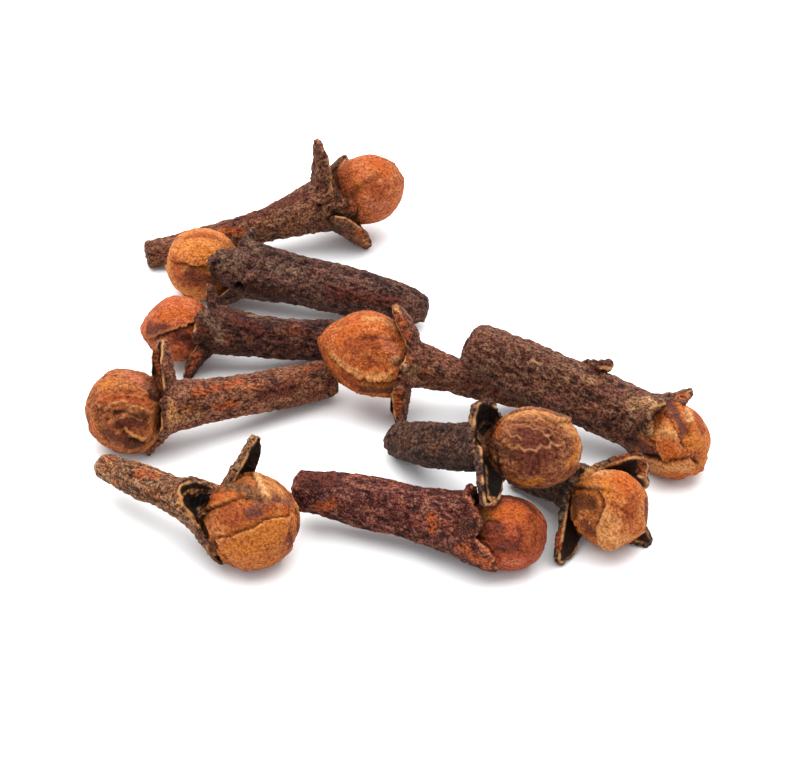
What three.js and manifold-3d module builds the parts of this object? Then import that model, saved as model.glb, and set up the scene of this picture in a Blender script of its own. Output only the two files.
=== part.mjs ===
// A loose heap of ten whole cloves (dried flower buds of Syzygium aromaticum), lying as they fell.
//
// Each clove is one solid: a stem (the hypanthium), the calyx at its head with four fleshy
// sepals, and the ball of folded petals that sits between them.
// Units are millimetres, +Z is up, and the heap rests on the plane Z = 0.

import * as THREE from 'three';
import { mergeVertices } from 'three/addons/utils/BufferGeometryUtils.js';
import Module from 'manifold-3d';

// ---------------------------------------------------------------- driving dimensions

const HEAP_SHIFT = [0.2, 0.6, 0];     // puts the origin under the middle of the heap
const STEM_SIDES = 12;                // facets round a stem
const STEM_STEPS = 6;                 // steps along a stem
const STEM_CORNERS = 4;               // a clove's stem is faintly four-sided
const STEM_SQUARE = 0.05;             // by this part of its radius
const STEM_SHRIVEL = 0.035;           // how far drying has drawn the skin in, as a part of the radius
const SHRIVEL_LOBES = 3;              // hollows that it leaves round the stem
const SHRIVEL_WIND = 5;               // radians that they wind on from tail to seat
const SHRIVEL_TURN = 7;               // and from one clove to the next, in turn steps
const SHRIVEL_START = 0.15;           // the tail itself is full up to this part of the length
const STEM_SWELL = 0.45;              // the stem reaches its middle thickness at this part of its length
const NECK_START = 0.62;              // and begins to widen to the neck at this part
const TAIL_RINGS = [[0, 0], [0.62, 0.12], [0.92, 0.5]];  // radius and height of its rounded rings
const CALYX_RIM = 0.45;               // the calyx reaches this far past the seat of the bud
const CALYX_FLARE = 1.02;             // how much wider than the neck its rim is
const TURN_STEP = 0.37;               // each clove's facets and folds are turned on from the last's
const BUD_SIDES = 13;                 // facets round a bud
const BUD_STEPS = 9;                  // steps from its foot to its tip
const PETALS = 4;                     // petals folded over each other into the ball
const PETAL_STEP = 0.10;              // height of a petal's free edge, as a part of the bud's radius
const PETAL_TWIST = 0.55;             // how far the petals wind round towards the tip, in petals
const BUD_POINT = 0.42;               // how sharply a pointed bud narrows to its tip
const BUD_BEAK = 0.1;                 // and how much further it reaches
const BEAK_START = 0.6;               // from this part of the way to the tip
const FOLD_FADE = 0.5;                // petal edges fade out inside this part of the radius
const SEPAL_SIDES = 8;                // facets round a sepal
const SEPAL_STEPS = 5;                // steps from its foot to its tip
const SEPAL_FOOT = 0.9;               // the length that is rooted in the calyx
const SEPAL_RING = 0.86;              // the sepals stand at this part of the neck's radius
const SEPAL_TAPER = 0.75;             // how much of its width a sepal loses by its tip
const SEPAL_BELLY = 1.6;              // above 1 it keeps its width for longer before the tip
const SEPAL_ROOT_OPEN = 20;           // degrees the rooted part may lean out
const SEPAL_THICK = 1.2;              // at the foot; it thins to the tip
const SEPAL_TIP = 0.65;               // thickness at the tip
const SEPAL_CUP = 0.5;                // how far a sepal's edges stand in from its middle

// Every clove in its own frame: the seat of the bud is the origin, +X points along the bud,
// +Y is to the left and +Z up.
//   seat, head, pitch   where the seat lies and how the clove is turned and tipped (degrees)
//   stem                len, radius at tail, mid and neck, how round the tail is, bend to the
//                       left and up (degrees)
//   bud                 how far out its middle is, len, wide, tall, nod left and up, point 0..1
//   sepals              az round the stem from +Y over +Z, open from the bud's side, len, wide,
//                       curl, then how far back of the rim it is rooted and how much of its
//                       width it loses by its tip, where these aren't the usual
const CLOVES = [
  { name: 'clove_01', seat: [-11.85, -16.4, 2.8], head: -33.4, pitch: 2.9, color: 0x8a5a3a,
    stem: { len: 8.6, tail: 0.8, mid: 1.06, neck: 1.52, round: 0.6, side: 6, up: -3.5 },
    bud: { out: 3.1, len: 5.7, wide: 5.7, tall: 5.7, left: 9, up: -5, point: 0.0 },
    sepals: [
      [55, 73, 4.1, 2.6, 4, -1.0, 0.6],
      [125, 112, 2.1, 2.4, -25, 0, 0.4],
      [-132, 38, 2.7, 3.1, -20, 0, 0.4],
      [-35, 45, 2.3, 2.0, 0],
    ] },
  { name: 'clove_02', seat: [4.5, -17.75, 2.5], head: -24.6, pitch: 1.5, color: 0x5d3029,
    stem: { len: 11.8, tail: 1.2, mid: 1.58, neck: 1.95, round: 0.5, side: -12, up: 0 },
    bud: { out: 2.2, len: 4.6, wide: 4.6, tall: 4.6, left: 16, up: -9, point: 0.0 },
    sepals: [
      [-152, 15, 3.2, 3.5, -14, 0.9, 0.35],
      [135, 12, 1.2, 2.2, -6],
      [84, 80, 1.2, 1.9, 0, 0.4],
      [-45, 38, 2.3, 2.0, 0],
    ] },
  { name: 'clove_03', seat: [11.25, -14.32, 2.21], head: -49.8, pitch: 15.6, color: 0x9a6238,
    stem: { len: 6.15, tail: 1.0, mid: 1.08, neck: 1.55, round: 0.6, side: -11, up: 6 },
    bud: { out: 2.4, len: 4.6, wide: 4.6, tall: 4.8, left: 5.5, up: -11, point: 0.0 },
    sepals: [
      [14, 58, 3.3, 2.8, 0, 0, 0.4],
      [-150, 60, 3.7, 2.6, 0, 0, 0.65],
      [-62, 27, 4.4, 2.4, 4],
      [100, 50, 1.2, 2.0, 0],
    ] },
  { name: 'clove_04', seat: [5.22, -13.85, 5.65], head: -44.5, pitch: 31.2, color: 0x6e4a38,
    stem: { len: 10, tail: 1.2, mid: 1.4, neck: 1.46, round: 1.2, side: 9, up: 3.7 },
    bud: { out: 3.2, len: 5.6, wide: 4.9, tall: 4.9, left: 32.7, up: -18.7, point: 0.0 },
    sepals: [
      [92, 64, 1.9, 2.8, -10, -0.3, 0.4],
      [-148, 58, 3.4, 2.5, 0, -0.9, 0.55],
      [-20, 55, 2.2, 2.0, 0],
      [165, 20, 0.9, 1.6, 0],
    ] },
  { name: 'clove_05', seat: [15.25, -7.62, 2.53], head: -20.9, pitch: -16, color: 0x5f3a2c,
    stem: { len: 12.2, tail: 1.65, mid: 1.93, neck: 1.9, round: 0.5, side: -0.6, up: -2.8 },
    bud: { out: 2.55, len: 4.6, wide: 4.6, tall: 4.7, left: -17.5, up: 8.6, point: 0.0 },
    sepals: [
      [125, 38, 2.3, 2.8, 75, 0.2, 0.4],
      [60, 19, 2.7, 3.0, 30, 0, 0.5],
      [-35, 45, 2.3, 2.0, 0],
      [10, 75, 1.3, 4.4, -30, 4.1, 0.3],
      [-145, 22, 2.4, 2.6, -8],
    ] },
  { name: 'clove_06', seat: [0.75, -2.85, 3.5], head: 176.4, pitch: 17, color: 0xb06a34,
    stem: { len: 8.65, tail: 0.98, mid: 1.03, neck: 1.38, round: 0.6, side: -4.5, up: 1 },
    bud: { out: 3, len: 6.2, wide: 5.3, tall: 5.3, left: -11, up: -9.5, point: 0.9 },
    sepals: [
      [110, 58, 3.1, 2.5, -30, 0, 0.4],
      [25, 42, 1.4, 2.3, 50],
      [-20, 20, 3.2, 2.4, -18],
      [-59, 98, 3.0, 3.2, 0, 0, 0.4],
    ] },
  { name: 'clove_07', seat: [-14.65, -6.35, 2.9], head: -161.1, pitch: 7, color: 0x93562f,
    stem: { len: 11.7, tail: 1.22, mid: 1.28, neck: 1.6, round: 0.6, side: -15, up: -3.5 },
    bud: { out: 2.82, len: 5.15, wide: 5.3, tall: 5.3, left: -14.5, up: -13, point: 0.0 },
    sepals: [
      [110, 82, 2.9, 3.1, 0, 0, 0.55],
      [8, 38, 1.5, 2.5, 0, 0, 0.1],
      [-75, 44, 2.3, 2.0, 0],
      [195, 50, 2.3, 2.0, 0],
    ] },
  { name: 'clove_08', seat: [-12.35, 1.95, 2.7], head: 172.9, pitch: 7.7, color: 0x8a4a2c,
    stem: { len: 8.9, tail: 1.3, mid: 1.4, neck: 1.65, round: 0.6, side: -21.5, up: -2.5 },
    bud: { out: 2.35, len: 4.6, wide: 4.3, tall: 4.3, left: 0, up: -12.5, point: 0.85 },
    sepals: [
      [35, 40, 1.8, 2.7, 40],
      [-55, 60, 2.4, 2.8, 0, 0, 0.45],
      [125, 58, 1.6, 1.9, 0],
      [215, 48, 2.3, 2.0, 0],
    ] },
  { name: 'clove_09', seat: [-10.55, 8.6, 2.7], head: 167.4, pitch: 4.9, color: 0x5a3a2e,
    stem: { len: 12.9, tail: 1.3, mid: 1.6, neck: 1.9, round: 1.6, side: 1.5, up: -1 },
    bud: { out: 3, len: 4.9, wide: 4.8, tall: 4.8, left: -8.5, up: -12, point: 0.0 },
    sepals: [
      [120, 95, 1.3, 2.1, 0],
      [35, 28, 2.3, 2.9, 20],
      [-50, 40, 2.1, 2.2, 0],
      [215, 48, 2.3, 2.0, 0],
    ] },
  { name: 'clove_10', seat: [-4.6, 15.8, 3.28], head: 17.5, pitch: 14.9, color: 0x944f2e,
    stem: { len: 13.45, tail: 0.9, mid: 1.1, neck: 1.84, round: 0.4, side: 8, up: 9 },
    bud: { out: 2.6, len: 5.0, wide: 4.7, tall: 4.8, left: 3.5, up: -7.5, point: 0.35 },
    sepals: [
      [76, 67, 3.2, 3.3, 0, 0.7, 0.6],
      [-110, 52, 2.9, 4.7, 0, 0.6, 0.45],
      [170, 14, 1.2, 2.2, 0],
      [20, 28, 2.5, 2.8, 0],
    ] },
];

// ---------------------------------------------------------------- helpers

const wasm = await Module();
wasm.setup();

const rad = THREE.MathUtils.degToRad;
const smooth = (a, b, x) => THREE.MathUtils.smoothstep(x, a, b);

// Moves every vertex of a geometry by f(x, y, z) -> [x, y, z].
function deform(geometry, f) {
  const p = geometry.attributes.position;
  for (let i = 0; i < p.count; i++) {
    p.setXYZ(i, ...f(p.getX(i), p.getY(i), p.getZ(i)));
  }
  return geometry;
}

// A closed three.js geometry as a manifold solid, without its seams and pinched triangles.
function toSolid(geometry) {
  geometry.deleteAttribute('normal');
  geometry.deleteAttribute('uv');
  const g = mergeVertices(geometry, 1e-4);
  const index = g.index.array;
  const tris = [];
  for (let i = 0; i < index.length; i += 3) {
    const [a, b, c] = [index[i], index[i + 1], index[i + 2]];
    if (a !== b && b !== c && c !== a) tris.push(a, b, c);
  }
  const solid = new wasm.Manifold(new wasm.Mesh({
    numProp: 3,
    vertProperties: new Float32Array(g.attributes.position.array),
    triVerts: new Uint32Array(tris),
  }));
  if (solid.volume() <= 0) throw new Error('a solid is inside out');
  return solid;
}

// The outer skin of a joined solid, without the small pockets that are shut in between the
// bud and the calyx.
function withoutPockets(solid) {
  return solid.decompose().reduce((a, b) => (a.volume() > b.volume() ? a : b));
}

function toGeometry(solid) {
  const mesh = solid.getMesh();
  const g = new THREE.BufferGeometry();
  g.setAttribute('position', new THREE.BufferAttribute(new Float32Array(mesh.vertProperties), 3));
  g.setIndex(new THREE.BufferAttribute(new Uint32Array(mesh.triVerts), 1));
  return g;
}

// Bends a straight stem: s is the distance back from the seat, y and z the place across it.
function bendBack(s, y, z, stem) {
  const bend = rad(Math.hypot(stem.side, stem.up));
  const k = Math.max(bend, 1e-4) / stem.len;
  const psi = Math.atan2(stem.up, stem.side);
  const [c, d] = [Math.cos(psi), Math.sin(psi)];
  const q = y * c + z * d;              // across, in the plane of the bend
  const p = -y * d + z * c;             // across, square to that plane
  const a = k * s;
  const reach = (1 - Math.cos(a)) / k + q * Math.cos(a);
  return [-Math.sin(a) / k + q * Math.sin(a), reach * c - p * d, reach * d + p * c];
}

// ---------------------------------------------------------------- the pieces of a clove

// The stem: a lathe profile from the blunt tail to the flared calyx, drawn in a little by
// drying, faintly four-sided and bent along an arc. The tail rounds off over the length cap.
function stemSolid(stem, turn) {
  const { len, tail, mid, neck, round } = stem;
  const radius = (u) => tail + (mid - tail) * smooth(0, STEM_SWELL, u)
    + (neck - mid) * smooth(NECK_START, 1, u);
  const cap = tail * round;
  const profile = TAIL_RINGS.map(([r, y]) => new THREE.Vector2(tail * r, cap * y));
  for (let i = 0; i <= STEM_STEPS; i++) {
    const y = cap + (len - cap) * i / STEM_STEPS;
    profile.push(new THREE.Vector2(radius(y / len), y));
  }
  profile.push(new THREE.Vector2(neck * CALYX_FLARE, len + CALYX_RIM));
  profile.push(new THREE.Vector2(0, len + CALYX_RIM));
  const g = new THREE.LatheGeometry(profile, STEM_SIDES);
  deform(g, (x, y, z) => {
    const th = Math.atan2(z, x);
    const u = y / len;
    const wave = Math.sin(SHRIVEL_LOBES * th + SHRIVEL_WIND * u + SHRIVEL_TURN * turn);
    const lobes = 1 + STEM_SQUARE * Math.cos(STEM_CORNERS * (th - turn))
      + STEM_SHRIVEL * wave * smooth(0, SHRIVEL_START, u);
    return bendBack(len - y, x * lobes, -z * lobes, stem);
  });
  return toSolid(g);
}

// The ball of petals: an egg with four petal edges that wind round it.
function budSolid(bud, turn) {
  const g = new THREE.SphereGeometry(1, BUD_SIDES, BUD_STEPS);
  const [a, b, c] = [bud.len / 2, bud.wide / 2, bud.tall / 2];
  const turned = new THREE.Matrix4().makeRotationFromEuler(
    new THREE.Euler(0, rad(-bud.up), rad(bud.left), 'ZYX'));
  const v = new THREE.Vector3();
  deform(g, (x, y, z) => {
    const th = Math.atan2(z, x);
    const s = ((th / (2 * Math.PI) + 0.5) * PETALS + PETAL_TWIST * y + turn) % 1;
    const leaf = (s < 0 ? s + 1 : s) - 0.5;
    const ring = Math.hypot(x, z);
    const fold = 1 + PETAL_STEP * leaf * smooth(0, FOLD_FADE, ring);
    const ahead = Math.min(Math.max(y, 0), 1);
    const nose = Math.pow(1 - ahead * ahead, bud.point * BUD_POINT);
    const beak = 1 + bud.point * BUD_BEAK * smooth(BEAK_START, 1, y);
    v.set(bud.out + a * y * beak, b * x * fold * nose, -c * z * fold * nose);
    v.applyMatrix4(turned);
    return [v.x, v.y, v.z];
  });
  return toSolid(g);
}

// A sepal: a thick three-cornered leaf, cupped round the bud's side and curled along its
// length, rooted in the wall of the calyx.
function sepalSolid([az, open, len, wide, curl, back = 0, taper = SEPAL_TAPER], neck) {
  const g = new THREE.SphereGeometry(1, SEPAL_SIDES, SEPAL_STEPS);
  const [ca, sa] = [Math.cos(rad(az)), Math.sin(rad(az))];
  deform(g, (x, y, z) => {
    const u = (y + 1) / 2;
    const th = Math.atan2(-z, x);
    const on = Math.hypot(x, z) > 1e-6 ? 1 : 0;
    const half = on * (wide / 2) * (1 - taper * Math.pow(u, SEPAL_BELLY));
    const thick = on * (SEPAL_THICK + (SEPAL_TIP - SEPAL_THICK) * u) / 2;
    const across = half * Math.cos(th);
    const cup = SEPAL_CUP * Math.pow(across / (wide / 2), 2);
    const depth = thick * Math.sin(th) + cup;
    const reach = u * (len + SEPAL_FOOT) - SEPAL_FOOT;
    const bend = rad(curl) * Math.max(0, reach) / len;
    const ang = rad(open) + bend / 2;
    const face = rad(open) + bend;
    const along = reach < 0 ? rad(Math.min(open, SEPAL_ROOT_OPEN)) : ang;
    const radial = neck * SEPAL_RING + Math.sin(along) * reach - Math.cos(face) * depth;
    const axial = -back + Math.cos(along) * reach + Math.sin(face) * depth;
    return [axial, radial * ca - across * sa, radial * sa + across * ca];
  });
  return toSolid(g);
}

// ---------------------------------------------------------------- the heap

// Everything above the plane that the heap rests on, as a box far wider than the heap.
const ROOM = 200;
const aboveFloor = toSolid(new THREE.BoxGeometry(ROOM, ROOM, ROOM).translate(0, 0, ROOM / 2));

export const heap = new THREE.Group();
heap.name = 'cloves';
heap.position.set(...HEAP_SHIFT);

CLOVES.forEach((clove, i) => {
  const turn = TURN_STEP * (i + 1);
  let solid = stemSolid(clove.stem, turn);
  solid = solid.add(budSolid(clove.bud, turn));
  for (const sepal of clove.sepals) {
    solid = solid.add(sepalSolid(sepal, clove.stem.neck));
  }

  const mesh = new THREE.Mesh(new THREE.BufferGeometry(), new THREE.MeshStandardMaterial({
    color: clove.color, roughness: 0.8, metalness: 0,
  }));
  mesh.name = clove.name;
  mesh.position.set(...clove.seat);
  mesh.rotation.set(0, rad(-clove.pitch), rad(clove.head), 'ZYX');
  mesh.updateMatrix();

  // The undersides end in small flats on the plane Z = 0.
  const placed = toSolid(toGeometry(solid).applyMatrix4(mesh.matrix));
  const resting = withoutPockets(placed.intersect(aboveFloor));
  mesh.geometry = toGeometry(resting).applyMatrix4(mesh.matrix.clone().invert());
  heap.add(mesh);
});

export default heap;
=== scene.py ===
# %% [markdown]
# # Whole cloves, lying loose
# A clove is a flower bud that was picked before it opened and dried in the sun. It is one thing:
# a stem, a calyx of four fleshy sepals at the stem's head, and a ball of folded petals between
# them. This lesson models ten of them, each as one welded mesh with its own dried skin.
# All modelling is done in millimetres, and a mesh is brought to metres when it is finished.

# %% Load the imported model
import math

import bmesh
import bpy
import numpy as np
from mathutils import Matrix, Vector
from mathutils.bvhtree import BVHTree
from mathutils.kdtree import KDTree


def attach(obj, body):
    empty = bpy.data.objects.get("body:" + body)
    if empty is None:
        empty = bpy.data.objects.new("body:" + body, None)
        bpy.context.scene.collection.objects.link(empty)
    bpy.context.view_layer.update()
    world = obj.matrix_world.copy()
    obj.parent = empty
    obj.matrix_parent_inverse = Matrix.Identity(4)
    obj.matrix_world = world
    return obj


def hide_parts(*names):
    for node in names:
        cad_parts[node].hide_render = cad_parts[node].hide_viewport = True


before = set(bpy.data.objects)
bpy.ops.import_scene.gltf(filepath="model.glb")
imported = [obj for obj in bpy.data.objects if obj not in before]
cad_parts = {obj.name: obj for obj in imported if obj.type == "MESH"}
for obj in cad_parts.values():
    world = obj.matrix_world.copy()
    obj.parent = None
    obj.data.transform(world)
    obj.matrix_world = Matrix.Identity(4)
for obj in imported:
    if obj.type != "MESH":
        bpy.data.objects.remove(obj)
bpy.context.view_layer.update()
MM = 0.001
print("nodes:", len(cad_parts))

# %% [markdown]
# ## Camera
# A small heap is seen best from a low seat through a long lens, here looking down at 38 degrees.
# The camera comes first, because marks on the cloves are placed by where they show in its view.

# %% Camera
HEAP_MIDDLE = Vector((0.2, 0.6, 0.0))
LOOK_DOWN = math.radians(38)
DISTANCE = 219.0
LENS = 150.0
SENSOR = 36.0
# nearest and furthest that the camera sees, in metres
CLIP = (0.01, 5.0)
VIEW = (800, 759)

look = Vector((0.0, math.cos(LOOK_DOWN), -math.sin(LOOK_DOWN)))
upward = Vector((0.0, math.sin(LOOK_DOWN), math.cos(LOOK_DOWN)))
eye = HEAP_MIDDLE - look * DISTANCE
lens_data = bpy.data.cameras.new("camera")
lens_data.lens = LENS
lens_data.sensor_width = SENSOR
lens_data.clip_start, lens_data.clip_end = CLIP
camera = bpy.data.objects.new("camera", lens_data)
camera.location = eye * MM
camera.rotation_euler = (math.pi / 2 - LOOK_DOWN, 0.0, 0.0)
bpy.context.collection.objects.link(camera)
bpy.context.scene.camera = camera


def sight_line(px, py):
    """The direction from the eye through a point of the view."""
    focal = LENS / SENSOR * VIEW[0]
    side = (px - VIEW[0] / 2) / focal
    rise = (VIEW[1] / 2 - py) / focal
    return (look + Vector((1, 0, 0)) * side + upward * rise).normalized()


print("camera at", [round(c, 4) for c in camera.location])

# %% [markdown]
# ## The ten cloves
# Each clove has a frame of its own: the seat of the bud is the origin, X points along the bud, Y
# is to the left and Z up. The numbers are those of the solid model, with the tips of the sepals a
# touch fuller.

# %% The ten cloves
# seat, head, pitch: where the seat lies and how the clove is turned and tipped, in degrees
# stem: length, radius at tail, middle and neck, roundness of the tail, bend left and up
# bud: how far out its middle is, length, width, height, nod left and up, how pointed
# sepals: place round the stem, how far open, length, width, curl, how far back it is rooted,
# and how much narrower its tip is where that isn't the usual
CLOVES = {
    "clove_01": dict(
        seat=(-11.85, -16.4, 2.8), head=-33.4, pitch=2.9,
        stem=(8.6, 0.8, 1.06, 1.52, 0.6, 6, -3.5),
        bud=(3.1, 5.7, 5.7, 5.7, 9, -5, 0.0),
        sepals=[
            (55, 73, 4.1, 2.6, 4, -1.0, 0.55),
            (125, 112, 2.1, 2.4, -25, 0, 0.35),
            (-132, 38, 2.7, 3.1, -20, 0, 0.35),
            (-35, 45, 2.3, 2.0, 0, 0),
        ],
    ),
    "clove_02": dict(
        seat=(4.5, -17.75, 2.5), head=-24.6, pitch=1.5,
        stem=(11.8, 1.2, 1.58, 1.95, 0.5, -12, 0),
        bud=(2.2, 4.6, 4.6, 4.6, 16, -9, 0.0),
        sepals=[
            (-152, 15, 3.2, 3.5, -14, 0.9, 0.3),
            (135, 12, 1.2, 2.2, -6, 0),
            (84, 80, 1.2, 1.9, 0, 0.4),
            (-45, 38, 2.3, 2.0, 0, 0),
        ],
    ),
    "clove_03": dict(
        seat=(11.25, -14.32, 2.21), head=-49.8, pitch=15.6,
        stem=(6.15, 1.0, 1.08, 1.55, 0.6, -11, 6),
        bud=(2.4, 4.6, 4.6, 4.8, 5.5, -11, 0.0),
        sepals=[
            (14, 58, 3.3, 2.8, 0, 0, 0.35),
            (-150, 60, 3.7, 2.6, 0, 0, 0.6),
            (-62, 27, 4.4, 2.4, 4, 0),
            (100, 50, 1.2, 2.0, 0, 0),
        ],
    ),
    "clove_04": dict(
        seat=(5.22, -13.85, 5.65), head=-44.5, pitch=31.2,
        stem=(10.0, 1.2, 1.4, 1.46, 1.2, 9, 3.7),
        bud=(3.2, 5.6, 4.9, 4.9, 32.7, -18.7, 0.0),
        sepals=[
            (92, 64, 1.9, 2.8, -10, -0.3, 0.35),
            (-148, 58, 3.4, 2.5, 0, -0.9, 0.5),
            (-20, 55, 2.2, 2.0, 0, 0),
            (165, 20, 0.9, 1.6, 0, 0),
        ],
    ),
    "clove_05": dict(
        seat=(15.25, -7.62, 2.53), head=-20.9, pitch=-16.0,
        stem=(12.2, 1.65, 1.93, 1.9, 0.5, -0.6, -2.8),
        bud=(2.55, 4.6, 4.6, 4.7, -17.5, 8.6, 0.0),
        sepals=[
            (125, 38, 2.3, 2.8, 75, 0.2, 0.35),
            (60, 19, 2.7, 3.0, 30, 0, 0.45),
            (-35, 45, 2.3, 2.0, 0, 0),
            (10, 75, 1.3, 4.4, -30, 4.1, 0.25),
            (-145, 22, 2.4, 2.6, -8, 0),
        ],
    ),
    "clove_06": dict(
        seat=(0.75, -2.85, 3.5), head=176.4, pitch=17.0,
        stem=(8.65, 0.98, 1.03, 1.38, 0.6, -4.5, 1),
        bud=(3.0, 6.2, 5.3, 5.3, -11, -9.5, 0.9),
        sepals=[
            (110, 58, 3.1, 2.5, -30, 0, 0.35),
            (25, 42, 1.4, 2.3, 50, 0),
            (-20, 20, 3.2, 2.4, -18, 0),
            (-59, 98, 3.0, 3.2, 0, 0, 0.35),
        ],
    ),
    "clove_07": dict(
        seat=(-14.65, -6.35, 2.9), head=-161.1, pitch=7,
        stem=(11.7, 1.22, 1.28, 1.6, 0.6, -15, -3.5),
        bud=(2.82, 5.15, 5.3, 5.3, -14.5, -13, 0.0),
        sepals=[
            (110, 82, 2.9, 3.1, 0, 0, 0.5),
            (8, 38, 1.5, 2.5, 0, 0, 0.05),
            (-75, 44, 2.3, 2.0, 0, 0),
            (195, 50, 2.3, 2.0, 0, 0),
        ],
    ),
    "clove_08": dict(
        seat=(-12.35, 1.95, 2.7), head=172.9, pitch=7.7,
        stem=(8.9, 1.3, 1.4, 1.65, 0.6, -21.5, -2.5),
        bud=(2.35, 4.6, 4.3, 4.3, 0, -12.5, 0.85),
        sepals=[
            (35, 40, 1.8, 2.7, 40, 0),
            (-55, 60, 2.4, 2.8, 0, 0, 0.4),
            (125, 58, 1.6, 1.9, 0, 0),
            (215, 48, 2.3, 2.0, 0, 0),
        ],
    ),
    "clove_09": dict(
        seat=(-10.55, 8.6, 2.7), head=167.4, pitch=4.9,
        stem=(12.9, 1.3, 1.6, 1.9, 1.6, 1.5, -1),
        bud=(3.0, 4.9, 4.8, 4.8, -8.5, -12, 0.0),
        sepals=[
            (120, 95, 1.3, 2.1, 0, 0),
            (35, 28, 2.3, 2.9, 20, 0),
            (-50, 40, 2.1, 2.2, 0, 0),
            (215, 48, 2.3, 2.0, 0, 0),
        ],
    ),
    "clove_10": dict(
        seat=(-4.6, 15.8, 3.28), head=17.5, pitch=14.9,
        stem=(13.45, 0.9, 1.1, 1.84, 0.4, 8, 9),
        bud=(2.6, 5.0, 4.7, 4.8, 3.5, -7.5, 0.35),
        sepals=[
            (76, 67, 3.2, 3.3, 0, 0.7, 0.55),
            (-110, 52, 2.9, 4.7, 0, 0.6, 0.4),
            (170, 14, 1.2, 2.2, 0, 0),
            (20, 28, 2.5, 2.8, 0, 0),
        ],
    ),
}
# how much further each clove is turned and its bud wound than the one before
TURN_STEP = 0.37
print("cloves:", len(CLOVES))

# %% [markdown]
# ## Working on many points at once
# A welded skin has tens of thousands of vertices. Numpy moves and measures all of them in one
# step, so each helper here takes rows of x, y, z in place of one point.

# %% Small maths
TINY = 1e-9


def smooth(a, b, x):
    """0 below a, 1 above b and a soft step between."""
    t = np.clip((np.asarray(x, float) - a) / (b - a), 0.0, 1.0)
    return t * t * (3 - 2 * t)


def bell(x, width):
    """1 where x is 0, falling off softly over the width."""
    return np.exp(-((x / width) ** 2))


def unit(v):
    return v / np.maximum(np.linalg.norm(v, axis=-1, keepdims=True), TINY)


def places(mesh):
    """The vertices of a mesh as rows of x, y, z."""
    out = np.empty(len(mesh.vertices) * 3)
    mesh.vertices.foreach_get("co", out)
    return out.reshape(-1, 3)


def reshape(bm, f):
    """Moves every vertex of a bmesh by f(rows of x, y, z)."""
    moved = f(np.array([v.co for v in bm.verts]))
    for v, co in zip(bm.verts, moved):
        v.co = co


print("a soft step from 0 to 1:", smooth(0, 1, [0.25, 0.5, 0.75]).round(2))

# %% Noise on arrays
# large odd numbers scramble a cell's corner into a number that looks random, as in a hash table
PRIMES = (73856093, 19349663, 83492791)
SEED_PRIME = 2654435761
SCRAMBLE = 1274126177
SHIFTS = (13, 16)
LOW_32 = 0xFFFFFFFF
LOW_16 = 0xFFFF
LAYER_SEED = 17
TILT = Matrix.Rotation(0.9, 3, "X") @ Matrix.Rotation(0.7, 3, "Y") @ Matrix.Rotation(0.5, 3, "Z")
TILT = np.array(TILT)


def value_noise(p, seed):
    """Soft noise between -1 and 1 at rows of x, y, z, one lump to a unit."""
    cell = np.floor(p).astype(np.int64)
    f = p - cell
    f = f * f * (3 - 2 * f)
    total = np.zeros(len(p))
    for corner in range(8):
        step = np.array([corner & 1, corner >> 1 & 1, corner >> 2 & 1])
        i = cell + step
        h = i[:, 0] * PRIMES[0] ^ i[:, 1] * PRIMES[1] ^ i[:, 2] * PRIMES[2] ^ (seed + 1) * SEED_PRIME
        h = (h ^ h >> SHIFTS[0]) * SCRAMBLE & LOW_32
        h = (h ^ h >> SHIFTS[1]) & LOW_16
        weight = np.prod(np.where(step, f, 1 - f), axis=1)
        total += weight * (h / (LOW_16 / 2) - 1)
    return total


def layered(p, seed, layers=3):
    """Noise with finer and fainter layers on top, each turned so that no lattice shows."""
    total = np.zeros(len(p))
    share = 0.0
    q = p @ TILT
    for i in range(layers):
        total += value_noise(q * 2 ** i, seed + LAYER_SEED * i) / 2 ** i
        share += 1 / 2 ** i
        q = q @ TILT
    return total / share


print("noise at three points:", layered(np.array([[0.1, 0, 0], [1.3, 2, 0], [5, 5, 5.0]]), 1).round(2))

# %% [markdown]
# ## The stem
# On the plant this is the ovary under the flower. It is a turned body, blunt at the tail and
# wider at the neck, so its profile is spun about the axis. Drying makes it a little four-sided and
# bent, so the spun body is given four lobes and laid along an arc.

# %% Bending a stem along its arc
LEAST_BEND = 1e-4


def arc_of(stem):
    """How sharply a stem bends and the direction that it bends in."""
    length, side, up = stem[0], stem[5], stem[6]
    k = max(math.radians(math.hypot(side, up)), LEAST_BEND) / length
    psi = math.atan2(up, side)
    return k, math.cos(psi), math.sin(psi)


def bend_back(p, stem):
    """Rows of (distance back from the seat, y, z) of a straight stem, bent."""
    k, c, d = arc_of(stem)
    q = p[:, 1] * c + p[:, 2] * d
    across = -p[:, 1] * d + p[:, 2] * c
    a = k * p[:, 0]
    reach = (1 - np.cos(a)) / k + q * np.cos(a)
    x = -np.sin(a) / k + q * np.sin(a)
    return np.stack([x, reach * c - across * d, reach * d + across * c], axis=1)


def straighten(p, stem):
    """The same rows back from bent to straight, to lay a grain along the stem."""
    k, c, d = arc_of(stem)
    q = p[:, 1] * c + p[:, 2] * d
    across = -p[:, 1] * d + p[:, 2] * c
    a = np.arctan2(-p[:, 0], 1 / k - q)
    flat = 1 / k - np.hypot(p[:, 0], 1 / k - q)
    return np.stack([a / k, flat * c - across * d, flat * d + across * c], axis=1)


print("bend of clove_08 over a mm:", round(math.degrees(arc_of(CLOVES["clove_08"]["stem"])[0]), 2))

# %% The stem, spun from its profile
STEM_SIDES = 40
STEM_STEPS = 36
STEM_CORNERS = 4
STEM_SQUARE = 0.05
STEM_SHRIVEL = 0.035
SHRIVEL_LOBES = 3
SHRIVEL_WIND = 5
SHRIVEL_TURN = 7
SHRIVEL_START = 0.15
STEM_SWELL = 0.45
NECK_START = 0.62
CALYX_RIM = 0.45
CALYX_FLARE = 1.02
SAME_PLACE = 1e-4
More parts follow.
